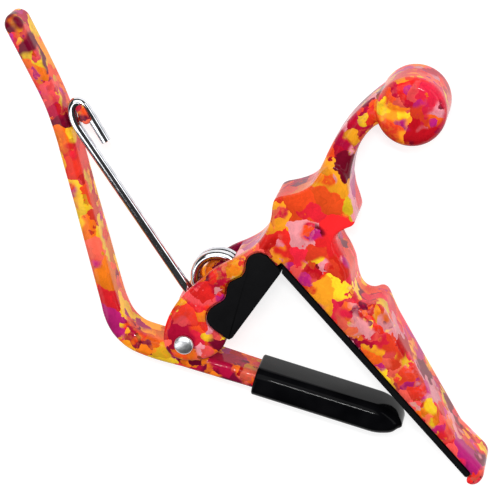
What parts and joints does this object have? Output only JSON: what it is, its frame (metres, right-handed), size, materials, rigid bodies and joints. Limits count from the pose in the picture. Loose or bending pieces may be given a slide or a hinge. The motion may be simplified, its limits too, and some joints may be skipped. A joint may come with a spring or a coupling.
{
  "type": "guitar capo",
  "caption": "Spring guitar capo with a cast fret bar and finger scroll, a pinned squeeze lever with a sleeved clamp arm, a torsion spring, a rubber pad and a neck cushion.",
  "frame": {"origin": "centre of the footprint, on the table the capo lies on", "axes": "the capo lies on its side: its profile is in the XY plane and its thickness runs along +Z, with the rivet's domed head up; +Y points towards the handle and scroll ends, and the fret bar's tip points to +X and -Y"},
  "size_m": [0.1012, 0.101, 0.017],
  "materials": {
    "body_lacquer": "printed flower pattern under clear gloss lacquer on a light-metal casting",
    "pad_rubber": "matt black",
    "cushion_rubber": "matt black",
    "lever_lacquer": "printed flower pattern under clear gloss lacquer on a light-metal casting",
    "boot_vinyl": "glossy black dipped vinyl",
    "coil_steel": "bright nickel-plated spring wire",
    "leg_steel": "bright nickel-plated spring wire",
    "rivet_steel": "polished domed rivet"
  },
  "bodies": {
    "frame": {"body_casting": "body_lacquer", "fret_pad": "pad_rubber", "neck_cushion": "cushion_rubber", "spring_coil": "coil_steel", "pivot_rivet": "rivet_steel"},
    "lever": {"lever_casting": "lever_lacquer", "arm_boot": "boot_vinyl"},
    "spring_arm": {"spring_leg": "leg_steel"}
  },
  "joints": [
    {"name": "lever_hinge", "type": "hinge", "parent": "frame", "child": "lever", "pos_m": [-0.01353, -0.02026, 0.0079], "axis": [0, 0, -1], "range_deg": [0, 28], "stiffness_Nm_per_rad": 1.2, "springref_deg": -6.88},
    {"name": "spring_arm_hinge", "type": "hinge", "parent": "frame", "child": "spring_arm", "pos_m": [-0.00663, -0.00696, 0.0118], "axis": [0, 0, -1], "range_deg": [0, 36]}
  ],
  "couplings": [
    {"joint": "spring_arm_hinge", "follows": "lever_hinge", "ratio": 1.28}
  ]
}
